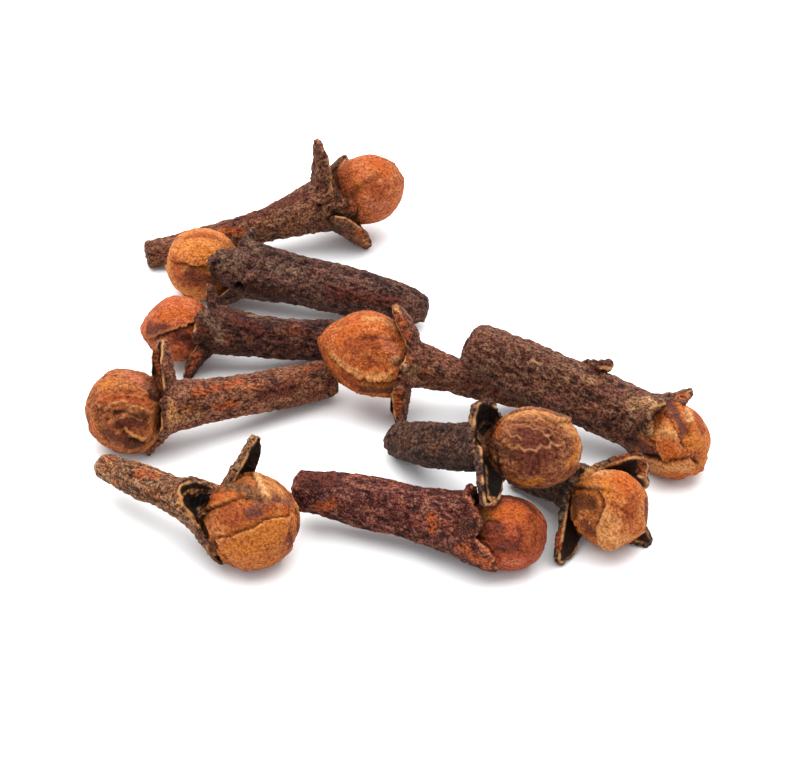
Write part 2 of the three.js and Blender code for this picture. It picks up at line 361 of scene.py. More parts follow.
# radius and place of the rings on the blunt tail, as parts of its own radius and length
TAIL_RINGS = ((0, 0), (0.62, 0.12), (0.92, 0.5))


def stem_body(stem, turn):
    length, tail, mid, neck, roundness = stem[:5]
    cap = tail * roundness

    def radius(u):
        return tail + (mid - tail) * smooth(0, STEM_SWELL, u) + (neck - mid) * smooth(NECK_START, 1, u)

    profile = [(tail * ring, cap * place) for ring, place in TAIL_RINGS]
    for i in range(STEM_STEPS + 1):
        y = cap + (length - cap) * i / STEM_STEPS
        profile.append((float(radius(y / length)), y))
    profile += [(neck * CALYX_FLARE, length + CALYX_RIM), (0, length + CALYX_RIM)]
    bm = bmesh.new()
    verts = [bm.verts.new((length - y, r, 0)) for r, y in profile]
    edges = [bm.edges.new(pair) for pair in zip(verts, verts[1:])]
    bmesh.ops.spin(
        bm, geom=verts + edges, cent=(0, 0, 0), axis=(1, 0, 0),
        angle=2 * math.pi, steps=STEM_SIDES, use_merge=True, use_duplicate=False,
    )
    bmesh.ops.remove_doubles(bm, verts=bm.verts, dist=SAME_PLACE)

    def lobes(p):
        th = np.arctan2(p[:, 2], p[:, 1])
        u = 1 - p[:, 0] / length
        swell = 1 + STEM_SQUARE * np.cos(STEM_CORNERS * (th - turn))
        wind = SHRIVEL_LOBES * th + SHRIVEL_WIND * u + turn * SHRIVEL_TURN
        swell += STEM_SHRIVEL * np.sin(wind) * smooth(0, SHRIVEL_START, u)
        return bend_back(p * np.stack([np.ones(len(p)), swell, swell], axis=1), stem)

    reshape(bm, lobes)
    bmesh.ops.recalc_face_normals(bm, faces=bm.faces)
    return bm


print("stem of clove_01, faces:", len(stem_body(CLOVES["clove_01"]["stem"], 0).faces))

# %% [markdown]
# ## The bud
# Four petals are folded over each other into a ball. Its folds are far smaller than the ball, so
# a fine icosphere gives the form here, drawn to a beak where the real one is pointed, and the
# folds come later as relief on the skin.

# %% The bud, drawn from a ball
BUD_FINENESS = 5
BUD_POINT = 0.42
BUD_BEAK = 0.1
BEAK_START = 0.6


def bud_turn(bud):
    """How the bud nods to the left and up from the line of the stem."""
    return Matrix.Rotation(math.radians(bud[4]), 3, "Z") @ Matrix.Rotation(math.radians(-bud[5]), 3, "Y")


def bud_body(bud):
    out, length, wide, tall, _, _, point = bud
    bm = bmesh.new()
    bmesh.ops.create_icosphere(bm, subdivisions=BUD_FINENESS, radius=1.0)

    def egg(p):
        y = p[:, 0]
        nose = np.power(1 - np.clip(y, 0, 1) ** 2 + TINY, point * BUD_POINT)
        beak = 1 + point * BUD_BEAK * smooth(BEAK_START, 1, y)
        q = np.stack([length / 2 * y * beak, wide / 2 * p[:, 1] * nose, tall / 2 * p[:, 2] * nose], axis=1)
        q[:, 0] += out
        return q @ np.array(bud_turn(bud)).T

    reshape(bm, egg)
    return bm


print("bud of clove_06, faces:", len(bud_body(CLOVES["clove_06"]["bud"]).faces))

# %% [markdown]
# ## The sepals
# Each clove has four thick, boat-shaped sepals round the bud, and most have shrunk back or torn.
# A grid wraps easily into a boat: one direction runs along the leaf, the other bows it. Solidify
# then gives the wall its thickness, with the keel on the outside.

# %% A sepal, wrapped from a grid
SEPAL_FOOT = 0.9
SEPAL_RING = 0.86
SEPAL_TAPER = 0.66
SEPAL_BELLY = 1.3
SEPAL_ROOT_OPEN = 20
SEPAL_WALL = 0.5
SEPAL_SINK = 0.1
SEPAL_BOAT = math.radians(62)
BOAT_DEPTH = 0.9
TIP_START = 0.8
TIP_ROUND = 0.75
LEAF_ACROSS = 16
LEAF_ALONG = 24
# how far to either side of a leaf's middle a point is taken to tell its inner face
PROBE = 0.1


def leaf_rows(sepal, neck, u, w, lift):
    """Points of a sepal at part u of its length and w from edge to edge, lifted off its middle."""
    az, opening, length, wide, curl, back, *taper = sepal
    taper = taper[0] if taper else SEPAL_TAPER
    round_tip = np.sqrt(1 - smooth(TIP_START, 1.0, u) * TIP_ROUND)
    half = wide / 2 * (1 - taper * np.power(u, SEPAL_BELLY)) * round_tip
    bow = SEPAL_BOAT * w
    across = half * np.sin(bow) / math.sin(SEPAL_BOAT) + lift * -np.sin(bow)
    depth = half * (1 - np.cos(bow)) / math.sin(SEPAL_BOAT) * BOAT_DEPTH
    depth = depth + lift * np.cos(bow) - SEPAL_SINK
    reach = u * (length + SEPAL_FOOT) - SEPAL_FOOT
    bend = math.radians(curl) * np.maximum(0, reach) / length
    out = math.radians(opening)
    along = np.where(reach < 0, math.radians(min(opening, SEPAL_ROOT_OPEN)), out + bend / 2)
    face = out + bend
    radial = neck * SEPAL_RING + np.sin(along) * reach - np.cos(face) * depth
    axial = -back + np.cos(along) * reach + np.sin(face) * depth
    ca, sa = math.cos(math.radians(az)), math.sin(math.radians(az))
    return np.stack([axial, radial * ca - across * sa, radial * sa + across * ca], axis=1)


def leaf_body(sepal, neck):
    """The leaf as a closed wall."""
    bm = bmesh.new()
    bmesh.ops.create_grid(bm, x_segments=LEAF_ACROSS, y_segments=LEAF_ALONG, size=1.0)
    reshape(bm, lambda p: leaf_rows(sepal, neck, (p[:, 1] + 1) / 2, p[:, 0], -SEPAL_WALL / 2))
    bmesh.ops.recalc_face_normals(bm, faces=bm.faces)
    u, w = np.array([0.5]), np.array([0.0])
    lifts = (0.0, PROBE, -PROBE)
    middle, inner, outer = [Vector(leaf_rows(sepal, neck, u, w, lift)[0]) for lift in lifts]
    nearest = min(bm.faces, key=lambda f: (f.calc_center_median() - middle).length)
    wall = -SEPAL_WALL if nearest.normal.dot(inner - outer) > 0 else SEPAL_WALL
    bmesh.ops.solidify(bm, geom=bm.faces, thickness=wall)
    bmesh.ops.recalc_face_normals(bm, faces=bm.faces)
    return bm


print("one sepal, faces:", len(leaf_body(CLOVES["clove_01"]["sepals"][0], 1.5).faces))

# %% [markdown]
# ## One skin
# A clove is one growth, so stem, bud and sepals are welded into a single skin. A boolean would
# leave long thin faces at the joins. A voxel remesh gives small even faces everywhere, and these
# can carry wrinkles.

# %% Weld the parts
VOXEL = 0.078
RELAX_SHARE = 0.5


def joined(bodies):
    """Several bmeshes as one mesh."""
    whole = bmesh.new()
    for bm in bodies:
        mesh = bpy.data.meshes.new("part")
        bm.to_mesh(mesh)
        whole.from_mesh(mesh)
        bm.free()
        bpy.data.meshes.remove(mesh)
    mesh = bpy.data.meshes.new("whole")
    whole.to_mesh(mesh)
    whole.free()
    return mesh


def welded(mesh):
    """The outer skin of a mesh as even faces."""
    holder = bpy.data.objects.new("holder", mesh)
    bpy.context.collection.objects.link(holder)
    remesh = holder.modifiers.new("weld", "REMESH")
    remesh.mode = "VOXEL"
    remesh.voxel_size = VOXEL
    shown = holder.evaluated_get(bpy.context.evaluated_depsgraph_get())
    skin = bpy.data.meshes.new_from_object(shown)
    bpy.data.objects.remove(holder)
    bpy.data.meshes.remove(mesh)
    return skin


def edge_rows(skin):
    """The two vertices of each edge."""
    out = np.empty(len(skin.edges) * 2, np.int64)
    skin.edges.foreach_get("vertices", out)
    return out.reshape(-1, 2)


def relax(values, edges, rounds):
    """Averages rows of values with their neighbours over the mesh's edges."""
    a, b = edges[:, 0], edges[:, 1]
    count = np.bincount(a, minlength=len(values)) + np.bincount(b, minlength=len(values))
    count = np.maximum(count, 1)
    rows = values.reshape(len(values), -1).astype(float)
    for _ in range(rounds):
        for c in range(rows.shape[1]):
            near = np.bincount(a, rows[b, c], len(rows)) + np.bincount(b, rows[a, c], len(rows))
            rows[:, c] += RELAX_SHARE * (near / count - rows[:, c])
    return rows.reshape(values.shape)


def grown(clove, turn):
    """The welded skin of a clove and the parts it was welded from."""
    parts = [stem_body(clove["stem"], turn), bud_body(clove["bud"])]
    samples = part_samples(clove, *parts)
    leaves = [leaf_body(sepal, clove["stem"][3]) for sepal in clove["sepals"]]
    return welded(joined(parts + leaves)), samples


print("an even face is", VOXEL, "mm wide")

# %% [markdown]
# ## Which part of the clove a point belongs to
# After the weld a vertex no longer knows whether it was stem, bud or sepal. The unwelded parts
# still do, so each vertex asks the nearest point of them. On a sepal it also learns how far along
# and across the leaf it is and which side it is on: the side that hugged the bud is dark, partly
# its own colour and partly painted shade in the hollow of the leaf.

# %% Ask the nearest part
STEM, BUD, LEAF = 0, 1, 2
# where a leaf leaves the neck, as part of its length, and how many points it answers with
LEAF_FREE = 0.12
LEAF_POINTS = (40, 25)


def part_samples(clove, stem_bm, bud_bm):
    """Rows of place, part, along, across and the way inward, for each part of a clove."""
    neck = clove["stem"][3]
    rows = [(*v.co, STEM, 0, 0, 0, 0, 0) for v in stem_bm.verts]
    rows += [(*v.co, BUD, 0, 0, 0, 0, 0) for v in bud_bm.verts]
    along, across = np.linspace(LEAF_FREE, 1, LEAF_POINTS[0]), np.linspace(-1, 1, LEAF_POINTS[1])
    u, w = [grid.ravel() for grid in np.meshgrid(along, across, indexing="ij")]
    for sepal in clove["sepals"]:
        inward = unit(leaf_rows(sepal, neck, u, w, PROBE) - leaf_rows(sepal, neck, u, w, -PROBE))
        tags = np.stack([np.full(len(u), LEAF), u, w], axis=1)
        rows += np.concatenate([leaf_rows(sepal, neck, u, w, 0.0), tags, inward], axis=1).tolist()
    return np.array(rows)


def ask_nearest(p, samples):
    tree = KDTree(len(samples))
    for i, row in enumerate(samples):
        tree.insert(row[:3], i)
    tree.balance()
    return samples[[tree.find(q)[1] for q in p]]


print("parts told apart: stem, bud, leaf =", (STEM, BUD, LEAF))

# %% Masks for bud, inner face and rim
# how far off a leaf's middle its inner face begins, and how near the rim is to its edge and tip
INNER_FROM = (0.04, 0.14)
RIM_ACROSS = (0.7, 0.9)
RIM_ALONG = (0.88, 0.97)
RIM_MIDDLE = 0.06
RIM_WIDTH = 0.09
# where the rim's crust is worn off
WEAR_LUMPS = 1.6
WEAR_FROM = (-0.5, 0.3)
MASK_ROUNDS = dict(bud=3, inner=2, rim=2)


def part_masks(p, edges, samples):
    """How far each vertex is bud, and inner face or rim of a sepal, from 0 to 1."""
    tags = ask_nearest(p, samples)
    part = tags[:, 3]
    leaf = part == LEAF
    lean = np.sum((p - tags[:, :3]) * tags[:, 6:9], axis=1)
    inner = leaf * smooth(*INNER_FROM, lean)
    edge = np.maximum(smooth(*RIM_ACROSS, np.abs(tags[:, 5])), smooth(*RIM_ALONG, tags[:, 4]))
    worn = smooth(*WEAR_FROM, layered(p * WEAR_LUMPS, 61, 2))
    rim = leaf * edge * bell(lean - RIM_MIDDLE, RIM_WIDTH) * worn
    masks = dict(bud=part == BUD, inner=inner, rim=rim)
    return {key: relax(mask, edges, MASK_ROUNDS[key]) for key, mask in masks.items()}


print("masks:", list(MASK_ROUNDS))

# %% [markdown]
# ## Dried skin in relief
# Drying leaves short lengthwise wrinkles on the stem and crumpled folds on the petals. The
# wrinkles are laid in the straightened stem, so they follow its bend. Four petals wind round each
# bud, and each one's free edge stands a little over the next. All of it is real shape, because
# bumps in a material alone would vanish from the outline.

# %% Wrinkles and folds
# lumps to a mm, along the grain and across it, and heights in mm
LUMPS = dict(
    furrow=(0.35, 1.3, 1.3), wander=(2.2, 2.2, 2.2), worm=(1.9, 3.3, 3.3), granule=(3.4, 4.8, 4.8),
    fold=(0.45, 0.75, 0.75), thread=(1.5, 2.4, 2.4), petal_granule=(5.5, 5.5, 5.5),
)
HEIGHTS = dict(furrow=0.11, wander=0.10, worm=0.04, granule=0.075, petal_granule=0.018)
# how narrow the crests are
SHARP = dict(worm=2.2, fold=2.4, thread=2.6)
# crumple and crease of the bud in mm, and how much finer than usual they are
FOLDS = {name: (0.055, 0.03, 1.0) for name in CLOVES}
FOLDS.update(
    clove_01=(0.05, 0.022, 1.0),
    clove_02=(0.03, 0.022, 1.1),
    clove_03=(0.08, 0.03, 0.9),
    clove_04=(0.05, 0.06, 1.5),
    clove_05=(0.07, 0.03, 0.9),
    clove_06=(0.05, 0.02, 0.8),
    clove_07=(0.11, 0.04, 0.9),
)


def crests(kind, noise):
    """Narrow ridges along the lines where the noise passes 0."""
    return 1 - SHARP[kind] * np.abs(noise)


def stem_relief(flat, seed):
    """Broad furrows and then fine worm-like granules, in mm; each noise has a seed of its own."""
    furrow = layered(flat * LUMPS["furrow"], seed, 2)
    sway = np.stack([layered(flat * LUMPS["wander"], seed + k, 1) for k in (1, 2, 3)], axis=1)
    wander = flat + HEIGHTS["wander"] * sway
    worm = crests("worm", layered(wander * LUMPS["worm"], seed + 5, 1))
    granule = layered(wander * LUMPS["granule"], seed + 9, 1)
    return HEIGHTS["furrow"] * furrow, HEIGHTS["worm"] * worm + HEIGHTS["granule"] * granule


def bud_relief(q, seed, folds):
    """Broad folds and then fine creases, in mm, from rows in the bud's own frame."""
    crumple, crease, finer = folds
    fold = crests("fold", layered(q * LUMPS["fold"] * finer, seed + 20, 2))
    thread = crests("thread", layered(q * LUMPS["thread"] * finer, seed + 25, 2))
    granule = layered(q * LUMPS["petal_granule"], seed + 29, 1)
    return crumple * fold, crease * thread + HEIGHTS["petal_granule"] * granule


print("kinds of relief:", list(LUMPS))

# %% Winding petals
PETALS = 4
PETAL_TWIST = 0.55
PETAL_RAGGED = 0.08
PETAL_WAVES = 1.3
# the edges fade out this near the bud's axis, in mm, where they would all meet
PETAL_FADE = (0.3, 1.2)
PETAL_SINK = 0.3
EDGE_WIDTH = 0.035
VALLEY_WIDTH = 0.03


def petal_edges(q, turn):
    """How far each row stands up as part of a winding petal, and the edge and valley of it."""
    th = np.arctan2(q[:, 2], q[:, 1])
    axis = unit(q)[:, 0]
    ragged = PETAL_RAGGED * value_noise(q * PETAL_WAVES, 7)
    leaf = ((th / (2 * np.pi) + 0.5) * PETALS + PETAL_TWIST * axis + turn + ragged) % 1
    fade = smooth(*PETAL_FADE, np.hypot(q[:, 1], q[:, 2]))
    edge, valley = bell(1 - leaf, EDGE_WIDTH), bell(leaf, VALLEY_WIDTH)
    return (leaf ** 3 - PETAL_SINK) * fade, edge * fade, valley * fade


print("petals to a bud:", PETALS)

# %% [markdown]
# ## Marks
# Cracks, torn petal edges, crusty ridges and stains are what makes each clove itself. A mark is a
# path given in the camera's view. Its points are cast from the eye onto the
# skin, and from then on it belongs to the skin: every vertex near the path is raised, sunk or
# stained by how near it is. A torn edge raises only what is on the left of its path.
# Cracks, furrows and pits, and the low side of a torn edge or fold, are also darkened as painted shade,
# and a few stains paint a highlight.

# %% Kinds of mark
# how wide one unit of the view is at the heap
VIEW_UNIT_MM = 0.0625
# lift, step and hole are heights in mm; shade and pale go from 0 to 1
# shade is painted shade: in a crack or furrow, and on the low side under a torn edge or fold
KINDS = {
    "crack": dict(lift=-0.18, shade=1.0),
    "furrow": dict(lift=-0.12, shade=0.45),
    "ridge": dict(lift=0.12, pale=0.6),
    "thread": dict(lift=0.06, pale=0.45),
    "torn": dict(step=0.2, shade=0.65, pale=0.6),
    "fold": dict(step=0.2, shade=0.55),
    "lump": dict(lift=0.3),
    "dent": dict(lift=-0.25),
    "swell": dict(lift=0.7),
    # pit sinks a hole and paints it near black, and black only paints it near black: painted shade
    "pit": dict(hole=-0.7),
    "black": dict(hole=0.0),
}
print("kinds of mark:", len(KINDS))


# %% Stains
def hex_colour(text):
    """An sRGB hex colour as linear RGBA, by the curve of the sRGB standard."""
    parts = [int(text[i:i + 2], 16) / 255 for i in (1, 3, 5)]
    return [c / 12.92 if c <= 0.04045 else ((c + 0.055) / 1.055) ** 2.4 for c in parts] + [1.0]


STAINS = dict(
    cream="#d4a674", tan="#be8450", amber="#b66c2a", orange="#b05822", salmon="#b2664a",
    rust="#8e4420", maroon="#5c2b20", plum="#4b2b2d", mauve="#7a4a3c", ash="#6c4c34",
    umber="#4c2c1a", olive="#8c5c20", husk="#a07450", bark="#80604c", ember="#a6522a",
)
print("stains:", len(STAINS))

# %% The marks on each clove
def read_marks(text):
    """One mark to a line: its kind or stain, half its width, and its path, in the camera's view."""
    marks = []
    for line in text.strip().splitlines():
        kind, half, *points = line.split()
        marks.append((kind, float(half), [tuple(map(float, point.split(","))) for point in points]))
    return marks


MARKS = {}
# black at 193,503 paints the calyx hollow near black, and the pits by 217,550 are painted near black:
# painted shade
MARKS["clove_01"] = read_marks("""
    rust 14  225,515 245,517 262,512
    plum 7  250,514 257,512
    mauve 8  262,500 277,497 290,503
    amber 16  235,550 258,537 275,530
    tan 10  270,480 278,490
    umber 5  296,512 297,530
    maroon 5  288,535 291,545
    orange 4  284,512 289,509
    ash 8  230,488 243,488 255,495
    lump 4  232,488
    lump 4  246,487
    furrow 2  222,484 230,482 238,484 243,480
    furrow 2  238,486 240,495 247,499
    orange 7  210,503 223,499 234,498
    torn 3  204,512 213,507 226,503 237,499
    torn 2.5  290,517 276,519 264,521 254,528 238,533 230,537 220,539
    tan 6  256,476 261,482 264,490 266,497
    cream 3  256,477 261,486 264,496
    torn 3  246,477 255,476 257,483 260,491 262,499
    furrow 2.5  240,497 252,499 264,501 280,500
    furrow 2  290,507 290,520 289,532
    tan 3  201,490 188,492 178,500 179,509 188,517 198,524
    black 7  193,503 206,497
    ridge 2.5  202,512 207,522 211,533
    crack 3  198,516 203,527 207,536
    tan 2  217,533 223,534
    umber 6  214,541 213,552 218,562 226,567
    ridge 2  208,545 210,557 216,565
    ridge 1.8  213,552 221,558 228,565
    pit 3.5  217,543 217,548
    pit 2.3  216,556 220,559
    pit 2.3  225,557 229,561
    ember 7  140,473 155,476
""")
# the pit at 478,498 is the dark gap beside the upright sepal, painted near black: painted shade
MARKS["clove_02"] = read_marks("""
    orange 12  497,513 510,512 524,516
    umber 6  507,497 522,501 534,511
    olive 6  484,512 487,519
    rust 12  533,522 532,545
    maroon 9  488,531 498,530
    maroon 7  515,546 500,548
    salmon 5  505,562 520,563
    thread 1.1  500,533 507,535 511,540
    thread 1.1  497,540 503,542
    thread 1  525,523 529,533 527,545
    furrow 1.3  517,528 521,538 518,550
    furrow 1.3  530,516 537,528 536,545
    furrow 2  479,538 490,541 503,541 513,539
    furrow 2  498,549 510,552 522,550
    furrow 2  481,523 490,520 500,524 506,531
    furrow 2  486,545 492,552 500,558
    maroon 8  469,488 478,490
    salmon 4  464,495 470,501 474,511 478,519
    lump 3  470,501 474,511 478,519
    umber 5  474,484 478,490
    pit 3  478,498 479,508
    umber 7  464,525 474,527
    ember 9  463,549 474,558 485,564
    salmon 2.5  477,541 485,550 493,560
    thread 2.5  477,541 485,550 493,560
    ember 8  432,518 434,530
    ember 6  318,508 334,504
    maroon 14  310,478 330,480
""")
# amber at 608,492 is a painted highlight in the middle of the bud
MARKS["clove_03"] = read_marks("""
    orange 14  625,480 632,492
    rust 9  633,500 629,515
    amber 7  608,492 605,482
    tan 9  582,475 592,472 605,473
    amber 5  583,481 591,483
    amber 4  578,492 590,493 600,495
    umber 10  582,501 592,504
    umber 5  577,503 578,515
    rust 5  612,466 628,456 640,452
    rust 5  560,530 558,548
    ember 5  641,462 640,470
    maroon 7  585,523 592,530
    tan 10  606,531 612,539 622,537
    tan 8  613,521 605,518
    plum 4  645,502 645,515 644,524
    tan 2.5  640,476 643,487 646,497
    dent 9  588,504
    swell 9  582,482
    swell 9  639,480
    swell 10  612,537
    lump 7  640,526
    cream 5  579,481 588,476 600,474
    ridge 1.3  577,483 584,478 592,480 599,475
    torn 3  574,484 580,488 592,488 603,490
    torn 3  600,493 606,500 605,509 601,518 598,527 598,535 601,541
    fold 3  577,491 575,500 574,512 578,522
    thread 1.5  576,478 583,472 592,471 600,469 611,471
    thread 1.5  590,472 593,478 597,484
    furrow 2  612,505 622,508 630,516
    furrow 2.5  582,513 590,516 597,514
    thread 1.5  620,541 632,536 642,530
    cream 1.3  636,487
    cream 1.3  632,493
    cream 1.2  638,496
    cream 1.2  590,522
    cream 1.2  586,511
""")
MARKS["clove_04"] = read_marks("""
    tan 8  506,419 520,415 532,412 545,416 560,422 572,428 580,445 578,460
    orange 7  500,422 498,432
    amber 4  576,440 575,455 568,465
    amber 5  508,477 525,483 540,480
    maroon 15  522,438 545,444 530,462
    umber 4  496,447 505,451 513,455
    ash 4  552,416 563,418
    furrow 2.2  505,421 520,423 540,424 558,431
    torn 2.2  545,419 555,422 568,422
    ridge 1.3  503,430 509,432 512,438 518,436 522,441
    ridge 1.3  524,428 530,427 534,431 541,430 545,436 552,434
    ridge 1.5  509,446 514,449 519,447 524,451 530,449 536,450
    ridge 1.5  536,450 541,446 546,448 551,443 556,446
    ridge 1.4  556,446 562,444 567,449 573,447
    ridge 1.2  547,437 551,443 549,449
    ridge 1.2  559,432 564,436 571,436
    thread 1  514,422 520,425 527,423
    thread 1  548,425 554,428 560,426 566,430
    thread 1  561,455 567,453 572,457
    thread 1  553,463 558,460 565,463
    thread 1  548,470 555,471 561,468
    furrow 1.6  550,432 552,440 548,447
    furrow 1.3  531,455 533,465 530,474
    furrow 1.3  537,453 539,466 537,476
    furrow 1.3  543,451 546,462 544,473
    furrow 1.3  556,451 557,460 554,468
    furrow 1.3  521,455 522,466 520,475
    furrow 2  500,457 510,460 522,459
    thread 1.3  505,466 512,470 520,476 528,478
    crack 2  497,453 498,462 500,472 504,480
    tan 3  492,458 498,457
    husk 3  468,413 473,424 480,436 484,446
    husk 3  486,466 487,480 488,496
    tan 6  492,500 497,503 502,498
""")
# cream at 647,399 is the pale curled rim of the sepal with a painted highlight on it
MARKS["clove_05"] = read_marks("""
    rust 8  655,412 663,417
    husk 9  632,402 644,402 652,406
    cream 2.5  647,399 657,404 660,411 655,418
    husk 4  672,389 686,388 692,393
    orange 3  676,397 688,396
    maroon 7  596,371 610,366
    mauve 9  548,400 566,396
    husk 3  582,379 602,384
    mauve 6  600,388 622,394
    husk 3  560,383 566,378
    husk 3  533,361 538,366
    tan 9  653,428 662,432 671,436
    orange 8  668,446 672,453
    plum 6  666,404 675,412 682,426 686,441
    cream 4  686,412 688,419
    rust 7  697,416 701,430
    amber 8  690,441 698,446
    plum 9  637,440 645,448 651,452
    tan 8  650,466 668,469 685,466
    orange 4  655,473 690,473
    torn 3  640,428 648,437 655,441 658,448 662,457
    torn 3  697,463 688,459 676,459 668,463 660,460 648,457
    fold 3  683,447 679,436 672,426 664,415 660,408
    fold 2.5  684,410 691,424 690,436
    crack 2  640,453 650,455 660,458
    ridge 2  655,434 664,432 672,434 676,438
    lump 8  698,467
    amber 5  703,457
    furrow 2  696,452 694,461 697,468
""")
# amber at 372,375 is a painted highlight on the bud
MARKS["clove_06"] = read_marks("""
    orange 10  342,337 356,325
    ember 6  388,306 398,316 407,335
    tan 3  395,306 399,311
    husk 8  396,359 406,363 414,372
    umber 3  401,352 409,358 418,364
    ember 3  398,352 410,362
    lump 5  397,358
    lump 5  405,367
    lump 5  416,370
    lump 4  411,360
    orange 4  399,393 398,404 398,413
    rust 10  374,341 352,347
    tan 5  365,318 382,320 395,328
    amber 7  372,375 390,379
    swell 15  365,383 385,386
    rust 5  345,375 356,381
    umber 4  362,381 378,383 392,382
    salmon 6  385,340 395,350
    tan 3  335,354 344,363 357,370 372,373 390,373
    torn 3  333,356 343,366 356,374 372,377 392,377
    furrow 3  395,340 380,338 362,340
    thread 2  335,330 352,326 370,324
""")
# umber at 160,390 is painted shade in the dark gap between bud and sepals
MARKS["clove_07"] = read_marks("""
    ember 6  104,400 122,397 147,404
    orange 4  156,345 156,360 159,376
    tan 9  170,408 172,423 182,418
    umber 5  160,390 163,408 162,426
    ember 6  196,393 215,388 240,382
    ember 5  216,408 236,402
    maroon 8  262,394 292,385
    rust 4  302,373 325,364
    husk 5  188,420 202,414
    ridge 1.6  116,433 125,428 133,434 142,437 151,430
    ridge 1.5  120,418 131,416 141,421
    furrow 1.8  108,420 116,412 127,411
    furrow 1.8  131,441 143,442 152,436
    amber 5  104,387 112,384
    salmon 8  126,374 140,379
    mauve 7  148,388 156,393
    maroon 10  120,424 140,421
    maroon 8  108,433 125,440
    orange 6  91,421 97,432
    umber 5  130,446 142,444
    ridge 2  106,410 112,404 122,402 135,407 149,413
    thread 1.5  103,417 112,410 124,408 137,414 146,422
    thread 1.3  100,402 112,396 126,395 140,399
    thread 1.3  106,390 118,384 134,384
    ridge 2  125,427 131,433 142,437
    furrow 3.5  113,413 128,413 145,421
    fold 3.5  150,395 140,390 125,386 112,390 101,400
    crack 3  150,398 157,401
    furrow 3  118,424 126,437 140,443
    furrow 3  97,410 99,425 106,438
""")
# amber at 185,299 is a painted highlight on the top of the bud
MARKS["clove_08"] = read_marks("""
    orange 8  162,316 178,313 190,318
    bark 8  206,318 214,326 219,337
    umber 3  203,338 212,346
    ember 6  197,357 190,370
    bark 4  250,316 300,320
    maroon 8  235,320 262,330
    maroon 8  152,329 165,331
    maroon 8  180,336 193,344
    rust 7  178,352 186,356
    amber 4  185,299 195,298
    torn 4  150,338 168,332 184,327 195,322
    furrow 3  170,345 182,340 195,338
    crack 3  200,345 208,350
""")
# amber at 199,250 is a painted highlight on the bud; the pit at 238,286 is painted near black as painted
# shade in the gap by the sepal
MARKS["clove_09"] = read_marks("""
    rust 10  180,277 195,283 210,284
    ember 7  175,258 177,270
    rust 6  188,238 200,234 212,237
    amber 9  199,250 206,254 208,262
    bark 9  222,264 236,259
    bark 5  248,240 256,250
    maroon 9  330,290 360,297 395,302
    bark 5  270,265 300,272
    umber 9  250,288 285,297
    maroon 9  190,276 205,280
    umber 6  212,270 214,280
    fold 4  178,262 192,266 206,266 216,262
    pit 4  238,286 242,289
""")
MARKS["clove_10"] = read_marks("""
    orange 10  385,169 375,162
    ember 6  358,232 366,246
    maroon 9  225,225 260,212 300,196
    ember 6  222,232 240,231
    umber 8  335,212 346,216
    amber 6  352,178 358,190
    rust 8  370,184 380,196
    umber 6  336,168 338,190
    umber 8  348,196 354,214
    umber 9  330,222 340,236
    salmon 8  372,205 385,206
    furrow 4  352,196 364,184 380,176
    rust 9  344,168 350,184 354,204
    umber 5  335,184 340,200
    tan 4  364,240 369,247
""")
print("marks:", {name: len(marks) for name, marks in MARKS.items()})

# %% Follow a path over the skin
PATH_STEP = 4.0
# a mark of one point gets a second one right beside it
BESIDE = Vector((1e-3, 0, 0))
FAR = 1e9
# a mark fades where the skin turns away from how it faces on the path
TURNED_AWAY = (-0.3, 0.2)


def on_skin(points, tree):
    """A path's places on the skin and the way the skin faces there, with points added between."""
    dense = [points[0]]
    for a, b in zip(points, points[1:]):
        n = max(1, round(math.dist(a, b) / PATH_STEP))
        dense += [(a[0] + (b[0] - a[0]) * i / n, a[1] + (b[1] - a[1]) * i / n) for i in range(1, n + 1)]
    hits = [tree.ray_cast(eye, sight_line(*point))[:2] for point in dense]
    hits = [hit for hit in hits if hit[0] is not None]
    if len(hits) == 1:
        hits.append((hits[0][0] + BESIDE, hits[0][1]))
    return np.array([hit[0] for hit in hits]), np.array([hit[1] for hit in hits])


def near_path(p, normals, path, facing):
    """Distance of each row to a path, above 0 on its left, and how far the row faces as it does."""
    best = np.full(len(p), FAR)
    side = np.zeros(len(p))
    same = np.zeros(len(p))
    toward_eye = -np.array(look)
    for a, b, way in zip(path, path[1:], facing):
        along = b - a
        t = np.clip(((p - a) @ along) / max(along @ along, TINY), 0, 1)
        off = p - a - t[:, None] * along
        d = np.linalg.norm(off, axis=1)
        nearer = d < best
        best[nearer] = d[nearer]
        side[nearer] = (np.cross(along, off) @ toward_eye)[nearer]
        same[nearer] = (normals @ way)[nearer]
    return best, np.sign(side), smooth(*TURNED_AWAY, same)


print("a path gets a point every", PATH_STEP, "units of the view")

# %% Draw the marks
# how a path's line wavers, as part of its width, and how far off it may stray, in mm
WAVER = 0.4
WAVER_LUMPS = 2.6
WARP = 0.12
WARP_LUMPS = 3.0
RAGGED = 1.6
# nothing further off than this many widths is touched
REACH = 5
STAIN_FADE = (0.3, 1.35)
STAIN_COVERS = 0.8
# how far a step slopes back and is pale, in widths, and how deep the dip before it is
STEP_BACK = 4
STEP_PALE = 0.9
STEP_DIP = 0.6
HOLE_WALL = (0.6, 1.05)


